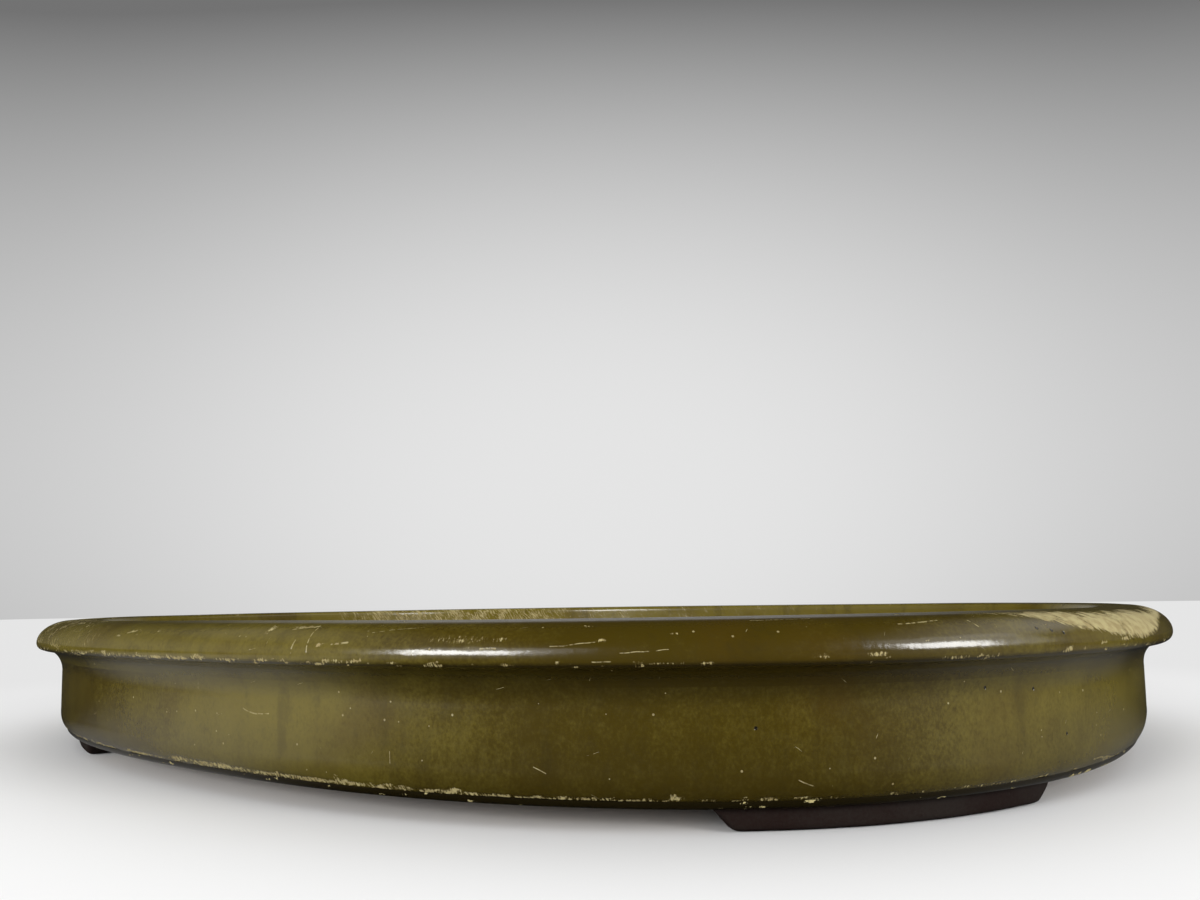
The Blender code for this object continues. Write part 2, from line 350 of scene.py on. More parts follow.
lip_section = line(joint_inner, (LIP_WIDTH, inner_top[1]), 12)
lip_section += arc(inner_top, LIP_INNER_ROUND, LIP_INNER_ROUND, 0, QUARTER, 6)
for step in range(CROWN_STEPS):
    share = step / CROWN_STEPS
    inset = inner_top[0] + (LIP_ROUND_DEPTH - inner_top[0]) * share
    lip_section.append((inset, LIP_SHOULDER + LIP_CROWN * math.sin(math.pi * share)))
lip_section += arc(round_centre, LIP_ROUND_DEPTH, LIP_ROUND_HEIGHT, QUARTER, 2 * QUARTER, 26)
lip_section += arc(edge_centre, LIP_EDGE_DEPTH, LIP_EDGE_HEIGHT, 2 * QUARTER, 3 * QUARTER, 8)
lip_section += arc(cove_centre, COVE_DEPTH, COVE_HEIGHT, QUARTER, JOINT_ANGLE, 12)
lip_section += line(joint_outer, joint_inner, 4)

lip = turn_ring("pot_lip", lip_section)
push_to_oval(lip)
wander(lip)
finish_mesh(lip)

# %% [markdown]
# ## Wall
# The wall carries on the hollow under the lip, leans in a little, and rounds off at its toe. It
# ends in the sharp edge that stands out over the floor's dark band, where most of the wear is.

# %% Draw the cross-section of the wall and turn it
face_top = (LIP_OVERHANG, COVE_BOTTOM)
face_bottom = (LIP_OVERHANG + WALL_TAPER, TOE_CENTRE_HEIGHT)
toe_centre = (TOE_CENTRE_INSET, TOE_CENTRE_HEIGHT)
toe_edge = (BAND_INSET, BAND_TOP)

wall_section = arc(cove_centre, COVE_DEPTH, COVE_HEIGHT, JOINT_ANGLE, 0, 8)
wall_section += line(face_top, face_bottom, 24)
wall_section += arc(toe_centre, TOE_DEPTH, TOE_HEIGHT, 2 * QUARTER, 2 * QUARTER + TOE_TURN, 18)
wall_section += line(toe_edge, (LIP_WIDTH, BAND_TOP), 6)
wall_section += line((LIP_WIDTH, BAND_TOP), joint_inner, 18)
wall_section += line(joint_inner, joint_outer, 4)

wall = turn_ring("pot_wall", wall_section)
push_to_oval(wall)
wander(wall)
finish_mesh(wall)

# %% [markdown]
# ## Floor
# The floor is a slab whose edge shows below the wall as a narrow band. Its edge is turned, its flat
# top and underside are filled in, and the holes are cut last, each with a turned plug that widens
# at the top, which eases the hole's rim.

# %% Turn the floor's edge and fill the slab
FILL_INSET = 40.0
floor_middle_inset = LIP_WIDTH + SLIP_GAP / 4
floor_round = (floor_middle_inset + FLOOR_EDGE_ROUND, FLOOR_TOP - FLOOR_EDGE_ROUND)
band_centre = (UNDERSIDE_INSET, BAND_TOP)

floor_section = line((FILL_INSET, FLOOR_TOP), (floor_round[0], FLOOR_TOP), 4)
floor_section += arc(floor_round, FLOOR_EDGE_ROUND, FLOOR_EDGE_ROUND, QUARTER, 2 * QUARTER, 4)
floor_section += line((floor_middle_inset, floor_round[1]), (floor_middle_inset, BAND_TOP), 4)
floor_section += line((floor_middle_inset, BAND_TOP), toe_edge, 6)
points_before_band = len(floor_section)
floor_section += arc(band_centre, BAND_DEPTH, UNDERSIDE - BAND_TOP, 2 * QUARTER, QUARTER, 10)
floor_section += line((UNDERSIDE_INSET, UNDERSIDE), (FILL_INSET, UNDERSIDE), 6)
floor_section.append((FILL_INSET, UNDERSIDE))

floor = turn_ring("pot_floor", floor_section, closed=False)
push_to_oval(floor)
wander(floor)
deselect_inside(floor, "VERT")
with inside(floor):
    bpy.ops.mesh.select_non_manifold()
    bpy.ops.mesh.fill_holes(sides=0)
print("the slab has", len(floor.data.polygons), "faces before its holes are cut")

# %% Cut the drain holes and the tie holes
DRAIN_RADIUS = 12.0
DRAIN_EASE = 1.5
DRAIN_PLACE = (95.0, 62.0)
TIE_RADIUS = 3.5
TIE_EASE = 0.8
TIE_PLACE = (140.0, 100.0)
CUT_PAST = 5.0
HOLE_STEPS = 72


def cut_hole(radius, ease, place):
    """Cut a hole through the floor with a plug whose upper end flares out in a quarter round."""
    rim_centre = (radius + ease, FLOOR_TOP - ease)
    outline = [(0, UNDERSIDE - CUT_PAST), (radius, UNDERSIDE - CUT_PAST)]
    outline += arc(rim_centre, ease, ease, 2 * QUARTER, QUARTER, 6)
    outline += [(radius + ease, FLOOR_TOP), (radius + ease + CUT_PAST, FLOOR_TOP + CUT_PAST)]
    outline.append((0, FLOOR_TOP + CUT_PAST))
    plug = turn_outline("hole_plug", outline, HOLE_STEPS, closed=False)
    plug.location = Vector((*place, 0)) * MM
    with inside(plug):
        bpy.ops.mesh.select_all(action="SELECT")
        bpy.ops.mesh.normals_make_consistent(inside=False)
    apply_modifier(floor, "BOOLEAN", operation="DIFFERENCE", solver="MANIFOLD", object=plug)
    bpy.data.objects.remove(plug)


for end in (-1, 1):
    for side in (-1, 1):
        cut_hole(DRAIN_RADIUS, DRAIN_EASE, (end * DRAIN_PLACE[0], side * DRAIN_PLACE[1]))
        cut_hole(TIE_RADIUS, TIE_EASE, (end * TIE_PLACE[0], side * TIE_PLACE[1]))
finish_mesh(floor)
apply_modifier(floor, "WEIGHTED_NORMAL", keep_sharp=True)

# %% [markdown]
# ## Coil
# A thin coil of clay is pressed into the corner of wall and floor and smoothed with a finger. Its
# face is hollow, and small dents from the fingertip follow each other all the way round.

# %% Turn the coil and press it by hand
DENT = 0.5
DENT_LENGTH = 17.0
coil_corner = (LIP_WIDTH + SLIP_GAP / 4, FLOOR_TOP + SLIP_GAP / 4)
coil_centre = (coil_corner[0] + COIL_REACH, coil_corner[1] + COIL_REACH)
coil_round = COIL_REACH - COIL_EDGE

coil_section = line(coil_corner, (coil_corner[0], coil_centre[1]), 8)
coil_section += line((coil_corner[0], coil_centre[1]), (coil_corner[0] + COIL_EDGE, coil_centre[1]), 1)
coil_section += arc(coil_centre, coil_round, coil_round, 2 * QUARTER, 3 * QUARTER, 14)
coil_section.append((coil_centre[0], coil_corner[1] + COIL_EDGE))
coil_section += line((coil_centre[0], coil_corner[1]), coil_corner, 8)

coil = turn_ring("pot_coil", coil_section)
push_to_oval(coil)
places = read_points(coil)
ends = np.clip((places[:, 2] - FLOOR_TOP) / COIL_REACH, 0, 1)
dents = DENT * share_of_noise(places * (1, 1, 0.4), DENT_LENGTH) * ends * (1 - ends) * 4
places[:, 2] -= dents * (places[:, 2] > coil_corner[1] + COIL_EDGE)
write_points(coil, places)
wander(coil)
finish_mesh(coil)

# %% [markdown]
# ## Feet
# Each foot is a bar of clay that leans in on its long sides and slopes at its ends. It is shaped
# straight, from a box whose lower face is made smaller, and then bent onto the same oval. Remeshing
# gives it even faces, so that the clay's grain can dent it.

# %% Shape one straight foot
FOOT_WIDTH = 20.0
FOOT_BATTER = 1.3
FOOT_SET_BACK = 1.6
FOOT_EDGE_ROUND = 1.5
FOOT_FACE_SIZE = 0.7
FOOT_FAR_BEARING = 21.0
FOOT_NEAR_BEARING = 47.0
LEFT_FEET_SHIFT = 17.0
FOOT_HEIGHT = UNDERSIDE
foot_inset = UNDERSIDE_INSET + FOOT_SET_BACK
foot_bearings = np.radians(np.linspace(FOOT_FAR_BEARING, FOOT_NEAR_BEARING, 50))
foot_path, _ = oval_line(foot_bearings)
foot_length = np.linalg.norm(np.diff(foot_path, axis=0), axis=1).sum()
print(f"a foot is {foot_length:.0f} mm long on the lip's outermost line")


def straight_foot(name):
    """Model a foot along X, with its outer side towards -Y and its top at the pot's underside."""
    bpy.ops.object.select_all(action="DESELECT")
    size = Vector((foot_length, FOOT_WIDTH, FOOT_HEIGHT)) * MM
    bpy.ops.mesh.primitive_cube_add(size=1, location=(0, 0, size.z / 2), scale=size)
    foot = bpy.context.object
    foot.name = name
    foot.data.name = name
    bpy.ops.object.transform_apply(location=True, rotation=False, scale=True)
    deselect_inside(foot, "VERT")
    for vertex in foot.data.vertices:
        vertex.select = vertex.co.z < FOOT_HEIGHT * MM / 2
    end_share = 1 - 2 * FOOT_HEIGHT / foot_length
    side_share = 1 - 2 * FOOT_BATTER / FOOT_WIDTH
    with inside(foot):
        bpy.ops.transform.resize(value=(end_share, side_share, 1), center_override=(0, 0, 0))
        bpy.ops.mesh.select_all(action="SELECT")
        bpy.ops.mesh.bevel(offset=FOOT_EDGE_ROUND * MM, segments=3, affect="EDGES")
    apply_modifier(foot, "REMESH", mode="VOXEL", voxel_size=FOOT_FACE_SIZE * MM)
    apply_modifier(foot, "SMOOTH", iterations=3)
    return foot


# %% Bend the feet onto the oval
FOOT_GRAIN = 0.12
FOOT_GRAIN_LENGTH = 2.4


def bent_foot(name, first, last):
    """Bend a straight foot onto the oval between two bearings, which are in degrees."""
    foot = straight_foot(name)
    places = read_points(foot)
    share = places[:, 0] / foot_length + 0.5
    bearings = np.radians(first + (last - first) * share)
    lay_on_oval(foot, bearings, foot_inset + FOOT_WIDTH / 2 + places[:, 1])
    wander(foot)
    places = read_points(foot)
    grain = FOOT_GRAIN * share_of_noise(places, FOOT_GRAIN_LENGTH)
    places[:, 2] = np.clip(places[:, 2] + grain * (places[:, 2] < 1), 0, FOOT_HEIGHT)
    write_points(foot, places)
    finish_mesh(foot)
    return foot


left_far = 180 - FOOT_FAR_BEARING - LEFT_FEET_SHIFT
left_near = 180 - FOOT_NEAR_BEARING - LEFT_FEET_SHIFT
foot_ends = {
    "foot_back_right": (FOOT_FAR_BEARING, FOOT_NEAR_BEARING),
    "foot_back_left": (left_near, left_far),
    "foot_front_left": (-left_far, -left_near),
    "foot_front_right": (-FOOT_NEAR_BEARING, -FOOT_FAR_BEARING),
}
feet = {node_name: bent_foot("pot_" + node_name, *ends) for node_name, ends in foot_ends.items()}

# %% [markdown]
# ## Wear
# Years of handling have rubbed the glaze to cream along two lines: the lower edge of the lip and
# the toe of the wall. A mark is a bearing in degrees, a place along the cross-section, half its
# length and half its height in millimetres, and how strongly it is worn. The marks go into the
# attribute `worn`, which colours the glaze. On the lip and the wall it also sinks the surface, so a
# chip is a real dent.

# %% Lay out the oval's length, so that marks can be placed along it
all_bearings = np.radians(np.linspace(-180, 180, 1441))
oval_points, _ = oval_line(all_bearings)
oval_steps = np.linalg.norm(np.diff(oval_points, axis=0), axis=1)
oval_lengths = np.concatenate([[0], np.cumsum(oval_steps)])


def length_at(bearing):
    """Return the distance round the lip, in millimetres, from bearing -180 degrees."""
    return np.interp(bearing, np.degrees(all_bearings), oval_lengths)


print(f"the lip is {oval_lengths[-1]:.0f} mm round")

# %% Rub marks into a piece
MARK_REACH = 1.6
SMALLEST_MARK = (0.5, 0.25)
DENT_NOISE_LENGTH = 1.6


def rub_marks(piece, marks):
    """Return how worn each point is, from 0 to 1, after rubbing each mark in with a soft edge."""
    around = length_at(read_mark(piece, "bearing"))
    along = read_mark(piece, "along")
    worn = np.zeros(len(around))
    for bearing, place, half_length, half_height, strength in marks:
        far = np.hypot((around - length_at(bearing)) / half_length, (along - place) / half_height)
        worn = np.maximum(worn, strength * np.clip(MARK_REACH - far, 0, 1))
    return worn


def scattered_marks(count, first, last, place, spread, longest, tallest, seed):
    """Return small worn marks at random between two bearings, close to one line."""
    chance = random.Random(seed)
    marks = []
    for _ in range(count):
        size = chance.random() ** 2.5
        half_length = SMALLEST_MARK[0] + longest * size
        half_height = SMALLEST_MARK[1] + tallest * size
        where = place + chance.gauss(0, spread)
        bearing = (chance.uniform(first, last) + 180) % 360 - 180
        marks.append((bearing, where, half_length, half_height, chance.uniform(0.5, 1.0)))
    return marks


def sink_marks(piece, worn, depth):
    """Dent a piece along its normals where it is worn, and keep the wear as an attribute."""
    normals = read_all(piece.data.vertices, "normal", 3)
    places = read_points(piece)
    rough = 0.5 + 0.5 * share_of_noise(places, DENT_NOISE_LENGTH)
    places -= normals * (depth * worn * rough)[:, None]
    write_points(piece, places)
    write_mark(piece, "worn", worn)


# %% The worn marks of the lip, from left to right
LIP_EDGE_PLACE = 42.3
lip_marks = [
    (-111, 40.4, 7, 0.5, 0.55), (-104, 41.7, 8, 0.5, 0.6), (-97, 42.1, 9, 0.5, 0.65),
    (-91, 42.3, 8, 0.5, 0.75), (-87.5, 42.3, 6, 0.6, 0.85), (-84.5, 42.1, 3, 0.5, 0.85),
    (-81, 42.3, 5, 0.45, 0.75), (-95.5, 34, 3.5, 0.6, 0.5), (-77.6, 32.6, 1.2, 1.8, 0.7),
    (-74.3, 31.4, 4, 0.5, 0.9), (-69.5, 42, 4, 0.5, 0.4), (-61.5, 36.2, 8, 1.2, 0.4),
    (-52.8, 36.7, 1.4, 0.4, 1), (-49.5, 42.1, 2.5, 0.3, 0.75), (-41, 41.1, 1.2, 0.5, 0.9),
    (-38, 40.9, 2.2, 0.45, 0.9), (-33, 42.3, 2.5, 0.35, 0.7), (-24.8, 41.6, 1.3, 0.8, 1),
    (-21.2, 40.6, 1, 0.5, 0.9), (-18.2, 40, 2.6, 0.5, 0.9),
]
lip_marks += scattered_marks(150, -125, -62, LIP_EDGE_PLACE, 0.5, 1.6, 0.2, 1)
lip_marks += scattered_marks(30, -62, -20, LIP_EDGE_PLACE, 0.5, 1.0, 0.2, 2)
lip_marks += scattered_marks(170, -20, 235, LIP_EDGE_PLACE, 0.5, 2.0, 0.3, 3)
lip_marks += scattered_marks(110, -180, 180, 35.0, 3.5, 0.9, 0.2, 4)
lip_marks += scattered_marks(90, -180, 180, 17.0, 1.0, 2.5, 0.5, 5)
LIP_WEAR_DEPTH = 0.12
sink_marks(lip, rub_marks(lip, lip_marks), LIP_WEAR_DEPTH)
print(f"{(read_mark(lip, 'worn') > 0.5).mean():.1%} of the lip's points are worn")

# %% [markdown]
# The patch at the lip's right end is too large for one mark, so its upper and lower limits are given
# at a few bearings. The left end of the lip is frosted all over, and the inner face of the far rim
# is rubbed along its left half. A second attribute, `rubbed`, keeps all this for the glaze.

# %% Rub the large patch into the lip
PATCH_BEARINGS = (-33, -28, -24, -21, -18, -15, -11, -7, 0, 8, 14)
PATCH_UPPER = (25, 25.5, 28, 31, 31, 30.5, 30.5, 32, 29.5, 27, 28)
PATCH_LOWER = (28, 30, 35.5, 37.8, 39.2, 40, 38.5, 35, 33.5, 31.5, 28)
PATCH_STRENGTH = (0, 0.45, 0.8, 0.95, 1, 1, 1, 1, 0.9, 0.6, 0)
PATCH_UPPER_FADE = 7.0
PATCH_LOWER_FADE = 2.2
LIP_FACE_START = 17.0
LIP_FACE_END = 40.5
FROST_BEARINGS = (-150, -125, -110, -95, -85)
FROST_SHARES = (0.2, 0.27, 0.23, 0.1, 0)
INSIDE_BEARINGS = (50, 90, 125, 136, 165, 175)
INSIDE_SHARES = (0.1, 0.18, 0.2, 0.4, 0.4, 0.1)
INSIDE_PALENESS = 1.0

bearings = read_mark(lip, "bearing")
along = read_mark(lip, "along")
below_upper = (along - np.interp(bearings, PATCH_BEARINGS, PATCH_UPPER)) / PATCH_UPPER_FADE
above_lower = (np.interp(bearings, PATCH_BEARINGS, PATCH_LOWER) - along) / PATCH_LOWER_FADE
patch = np.clip(0.5 + np.minimum(below_upper, above_lower), 0, 1)
patch *= np.interp(bearings, PATCH_BEARINGS, PATCH_STRENGTH)
frosted = np.interp(bearings, FROST_BEARINGS, FROST_SHARES)
frosted *= (along > LIP_FACE_START) * (along < LIP_FACE_END)
rim_inside = np.interp(bearings, INSIDE_BEARINGS, INSIDE_SHARES) * (along < LIP_FACE_START)
write_mark(lip, "rubbed", np.maximum(patch, np.maximum(frosted, rim_inside)))
print(f"{(patch > 0.5).mean():.1%} of the lip's points are in the patch")

# %% The worn marks of the wall
TOE_PLACE = 25.6
wall_marks = [
    (-113, 26.1, 9, 0.42, 0.79), (-105, 26, 6, 0.56, 0.79), (-98, 25.6, 12, 0.56, 0.88),
    (-91.7, 24.8, 5, 0.84, 0.88), (-88, 25.2, 6, 0.98, 0.88), (-85.3, 25.2, 4, 1.4, 0.88),
    (-83, 25.2, 3, 0.84, 0.79), (-80, 25.3, 9, 0.7, 0.79), (-76, 25.4, 14, 0.77, 0.88),
    (-71.8, 25.3, 8, 0.7, 0.79), (-72.6, 24, 0.8, 1.1, 0.79), (-69.3, 25.8, 1.5, 0.49, 0.79),
    (-65.3, 25.6, 1.5, 0.49, 0.79), (-62.5, 25.7, 6, 0.56, 0.88), (-60.2, 26, 5, 0.63, 0.88),
    (-57.4, 26.1, 10, 0.42, 0.88), (-54.3, 26.1, 1.5, 0.56, 0.79), (-51.4, 26.1, 5, 0.49, 0.79),
    (-49.1, 25, 1.6, 0.98, 0.79), (-43.6, 25.6, 2, 0.7, 0.7), (-45.5, 26.1, 1, 0.35, 0.7),
    (-40.8, 26.1, 1.2, 0.42, 0.7), (-15, 25.8, 5, 0.35, 0.7), (-8.5, 25.9, 1.5, 0.42, 0.79),
]
wall_marks += scattered_marks(140, -125, -62, TOE_PLACE, 0.5, 2.2, 0.7, 11)
wall_marks += scattered_marks(30, -62, -45, TOE_PLACE + 0.2, 0.4, 1.6, 0.4, 12)
wall_marks += scattered_marks(30, -45, -20, TOE_PLACE + 0.2, 0.4, 1.2, 0.4, 13)
wall_marks += scattered_marks(260, -20, 235, TOE_PLACE + 0.1, 0.5, 3.0, 0.6, 14)
WALL_WEAR_DEPTH = 0.25
sink_marks(wall, rub_marks(wall, wall_marks), WALL_WEAR_DEPTH)
print(f"{(read_mark(wall, 'worn') > 0.5).mean():.1%} of the wall's points are worn")

# %% The worn marks of the floor's band
BAND_GLAZE = np.array([-2.0, -1.0, 3.5, 5.5])
before_band = floor_section[: points_before_band + 1]
band_start = sum(math.dist(a, b) for a, b in zip(before_band, before_band[1:]))
band_marks = [
    (-21.3, band_start + 2.6, 1.2, 0.7, 1), (-20.3, band_start + 1.8, 1.6, 0.8, 1),
    (-19.4, band_start + 1.4, 1, 0.6, 1), (-18.1, band_start + 1.6, 2.2, 0.8, 1),
    (-14.8, band_start + 1.5, 5, 0.3, 1), (-7, band_start + 1.8, 1.2, 0.6, 0.9),
]
band_marks += scattered_marks(160, -180, 180, band_start + 1.5, 1.2, 1.6, 0.4, 21)
write_mark(floor, "worn", rub_marks(floor, band_marks))
write_mark(floor, "glazed", np.interp(read_mark(floor, "along"), BAND_GLAZE + band_start, (0, 1, 1, 0)))
print(f"the band starts {band_start:.1f} mm along the floor's section")

# %% [markdown]
# The glaze is paler on both shoulders of the front than in its middle: partly its own drift in
# colour, and partly painted sheen where the lamps' reflection spreads over the glaze. Painted shade
# darkens it in the hollow under the lip, towards the bottom of the wall and on the toe's underside.
# Inside, the wall was left raw. The meshes keep all three as attributes. A pale share belongs to a
# bearing, and the others to a place along the section.

# %% Lay down how pale and how thick the glaze is
PALE_BEARINGS = (
    -180, -150, -120, -105, -95, -84, -74, -66, -58, -50,
    -36, -28, -21, -14, -6, 10, 60, 120, 180,
)
# Pale shares by bearing are partly the glaze's own drift and partly painted sheen: highest on the
# front's shoulders, where the lamps' sheen falls, and lowest in the middle.
WALL_SHEEN_AND_PALE_SHARES = (
    0.5, 0.3, 0.2, 0.2, 0.5, 1.0, 0.8, 0.25, -0.1, -0.2,
    0.0, 0.55, 0.75, 0.75, 0.7, 0.6, 0.3, 0.6, 0.5,
)
LIP_SHEEN_AND_PALE_SHARES = (
    0.5, 0.9, 1.5, 1.1, 0.8, 0.7, 0.6, 0.3, 0.0, -0.5,
    -0.2, 0.3, 0.6, 0.5, 0.4, 0.5, 0.3, 0.6, 0.5,
)
# Painted shade along the section: the hollow under the lip, and on the wall a rise towards its bottom
# and the toe's underside.
LIP_SHADE_PLACES = (22, 30, 41.6, 42.6, 44.2, 45.6, 47, 51, 53)
LIP_SHADE_SHARES = (0, 0.14, 0.12, 1, 1, 0.7, 1, 0.7, 0.62)
WALL_SHADE_PLACES = (0, 1.5, 5, 9, 21, 25.6, 26.4, 30)
WALL_SHADE_SHARES = (0.62, 0.52, 0.12, 0.08, 0.42, 0.6, 1, 1)
WALL_RAW = (28, 30, 54.5, 57.5)

for piece, pale_and_sheen_shares, shade_places, shade_shares in (
    (lip, LIP_SHEEN_AND_PALE_SHARES, LIP_SHADE_PLACES, LIP_SHADE_SHARES),
    (wall, WALL_SHEEN_AND_PALE_SHARES, WALL_SHADE_PLACES, WALL_SHADE_SHARES),
):
    write_mark(piece, "pale_and_sheen", np.interp(read_mark(piece, "bearing"), PALE_BEARINGS, pale_and_sheen_shares))
    write_mark(piece, "painted_shade", np.interp(read_mark(piece, "along"), shade_places, shade_shares))
    print(piece.name, "is glazed")
write_mark(wall, "raw", np.interp(read_mark(wall, "along"), WALL_RAW, (0, 1, 1, 0)))
inner_face = (read_mark(lip, "along") < LIP_FACE_START) * (read_mark(lip, "bearing") > 0)
write_mark(lip, "pale_and_sheen", read_mark(lip, "pale_and_sheen") + INSIDE_PALENESS * inner_face)

# %% [markdown]
# ## Coordinates for the scratches
# A scratch is placed by its two ends on the unrolled surface. The UV map holds that surface in
# metres: U is the distance round the oval from the right end, and V the distance along the
# cross-section. A face on the seam, at the left end, keeps all its corners on one side of it.

# %% Unroll the lip, the wall and the floor's edge
def unroll(piece):
    corners = read_all(piece.data.loops, "vertex_index", kind=int)
    starts = read_all(piece.data.polygons, "loop_start", kind=int)
    counts = read_all(piece.data.polygons, "loop_total", kind=int)
    bearings = read_mark(piece, "bearing")[corners]
    first_bearings = np.repeat(bearings[starts], counts)
    bearings -= 360 * (bearings - first_bearings > 180)
    bearings += 360 * (first_bearings - bearings > 180)
    around = length_at(np.clip(bearings, -180, 180)) - length_at(0)
    places = np.stack([around, read_mark(piece, "along")[corners]], axis=1) * MM
    unrolled = piece.data.uv_layers.new(name="unrolled")
    unrolled.data.foreach_set("uv", places.ravel())


for piece in (lip, wall, floor):
    unroll(piece)
    print(piece.name, "is unrolled")

# %% [markdown]
# ## Shader arithmetic
# A material is easier to read as sums than as a tangle of nodes. This small class wraps one output
# socket. Its operators add Math nodes, and | keeps the larger of two values. The function `node`
# adds any other node, and fills its sockets with numbers or links.

# %% A value that can be added, multiplied and compared
def operator(operation, reflected=False):
    """Return a method that adds one Math node."""
    def method(self, other):
        pair = (other, self) if reflected else (self, other)
        return math_node(operation, *pair)
    return method


class Value:
    __add__ = operator("ADD")
    __radd__ = operator("ADD", reflected=True)
    __sub__ = operator("SUBTRACT")
    __rsub__ = operator("SUBTRACT", reflected=True)
    __mul__ = operator("MULTIPLY")
    __rmul__ = operator("MULTIPLY", reflected=True)
    __pow__ = operator("POWER")
    __or__ = operator("MAXIMUM")

    def __init__(self, tree, output):
        self.tree = tree
        self.output = output

    def __abs__(self):
        return math_node("ABSOLUTE", self)


def node(tree, kind, inputs=None, output=0, **settings):
    """Add a node, give it its settings, and fill its sockets, which are named by identifier."""
    made = tree.nodes.new("ShaderNode" + kind)
    for name, setting in settings.items():
        setattr(made, name, setting)
    fill(made, inputs or {})
    return Value(tree, made.outputs[output])


def fill(made, inputs):
    """Link Values to a node's sockets, or set them to plain numbers, colours or vectors."""
    sockets = {socket.identifier: socket for socket in made.inputs}
    for name, value in inputs.items():
        if isinstance(value, Value):
            value.tree.links.new(value.output, sockets[name])
        else:
            sockets[name].default_value = value


def math_node(operation, *values, stem="Value", output=0):
    """Add a Math node, or a Vector Math node, whose sockets' names have another stem."""
    tree = next(value.tree for value in values if isinstance(value, Value))
    kind = "Math" if stem == "Value" else "VectorMath"
    inputs = dict(zip((stem, stem + "_001", stem + "_002"), values))
    return node(tree, kind, inputs, output, operation=operation)


def vector_node(operation, *values, output=0):
    return math_node(operation, *values, stem="Vector", output=output)


def dot(vector, direction):
    return vector_node("DOT_PRODUCT", vector, direction, output=1)


# %% Noise, masks and colour mixes
def colour(red, green, blue):
    return (red, green, blue, 1.0)


def grey(value):
    return node(value.tree, "CombineColor", {"Red": value, "Green": value, "Blue": value})


def noise_at(where, scale, detail=2.0, roughness=0.5):
    inputs = {"Vector": where, "Scale": scale, "Detail": detail, "Roughness": roughness}
    return node(where.tree, "TexNoise", inputs)


def stretched(where, scales):
    return vector_node("MULTIPLY", where, scales)


def between(value, first, second, third, fourth):
    """Return a mask that rises between the first two limits and falls between the last two."""
    return mask(value, first, second) * (1 - mask(value, third, fourth))


def swing(share, size):
    """Turn a share from 0 to 1 into a swing of this size to both sides of 0."""
    return (share - 0.5) * size


def mask(value, low, high):
    """Return 0 below low, 1 above high, and a smooth step between them."""
    inputs = {"Value": value, "From Min": low, "From Max": high}
    return node(value.tree, "MapRange", inputs, interpolation_type="SMOOTHSTEP")


def blend(share, under, over):
    inputs = {"Factor_Float": share, "A_Color": under, "B_Color": over}
    return node(share.tree, "Mix", inputs, output=2, data_type="RGBA")


def dots_at(where, scale, radius, share):
    """Return a mask of small round dots, in only a share of the cells of a Voronoi pattern."""
    inputs = {"Vector": where, "Scale": scale}
    near = node(where.tree, "TexVoronoi", inputs)
    cell = node(where.tree, "TexVoronoi", inputs, output=1)
    chosen = node(where.tree, "SeparateColor", {"Color": cell})
    return (1 - mask(near, radius * 0.6, radius)) * mask(chosen, 1 - share, 1.001 - share)


# %% Start a material, and read places and attributes
def new_finish(name):
    """Return a material, its node tree and its shader."""
    material = bpy.data.materials.new(name)
    material.use_nodes = True
    tree = material.node_tree
    return material, tree, tree.nodes["Principled BSDF"]


def object_place(tree):
    return node(tree, "TexCoord", output=3)


def attribute(tree, name):
    """Read an attribute, which counts as 0 on a mesh that doesn't have it."""
    return node(tree, "Attribute", output=2, attribute_name=name)


def relief(height, depth):
    """Return the normals of a fine relief: height runs from 0 to 1, and depth is in millimetres."""
    return node(height.tree, "Bump", {"Height": height, "Distance": depth * MM})


# %% [markdown]
# ## Glaze
# The glaze is a thin dark green and brown glass over cream clay. It pools unevenly, so its colour
# drifts over centimetres and is clouded over millimetres. It gives the sharp lamp reflections, and
# a thin, rougher coat over it gives the soft sheen around them.

# %% Colours of the glaze and the clay
OLIVE = colour(0.0475, 0.0315, 0.0003)
# The pale olive is partly the glaze's own clouds and partly painted sheen.
PALE_OLIVE_AND_SHEEN = colour(0.130, 0.101, 0.011)
OLIVE_DEEP = colour(0.032, 0.021, 0.001)
# Near black: painted shade for the hollow under the lip, the toe's underside and the floor's band.
OLIVE_IN_SHADE = colour(0.008, 0.0055, 0.001)
GLAZE_BROWN = colour(0.055, 0.031, 0.0008)
WORN_CREAM = colour(0.37, 0.315, 0.140)
WORN_TAN = colour(0.26, 0.20, 0.075)
PINHOLE = colour(0.010, 0.007, 0.002)
CLAY = colour(0.30, 0.225, 0.145)
CLAY_DARK = colour(0.205, 0.148, 0.095)
# The feet's colours are darkened well below their slip's own tone, as painted shade under the pot.
FOOT_SHADE_BROWN = colour(0.017, 0.012, 0.0095)
FOOT_SHADE_RED = colour(0.012, 0.0045, 0.003)

# %% [markdown]
# Years of small knocks leave fine short scratches. A scratch is a round dot of a Voronoi pattern
# whose coordinates are squeezed along one direction, and four directions laid over each other look
# like chance. The scratches that stand out in the photograph are placed one by one.

# %% Scratches
STROKES = ((82, 4, 0.22, 0.0015), (-33, 5, 0.22, 0.0015), (14, 6, 0.20, 0.0020), (58, 3, 0.3, 0.0015))


def turned_by(unrolled, angle):
    inputs = {"Vector": unrolled, "Angle": math.radians(angle)}
    return node(unrolled.tree, "VectorRotate", inputs, rotation_type="Z_AXIS")


def strokes_at(unrolled, angle, length, width, share):
    """Return a mask of short fine scratches that all run at one angle, in degrees."""
    cells = stretched(turned_by(unrolled, angle), (1 / (length * MM), 1 / (width * MM), 1))
    return dots_at(cells, 1.0, 0.3, share)


def place_unrolled(bearing, along):
    """Return a place on the unrolled surface, in metres."""
    return Vector((length_at(bearing) - length_at(0), along, 0)) * MM


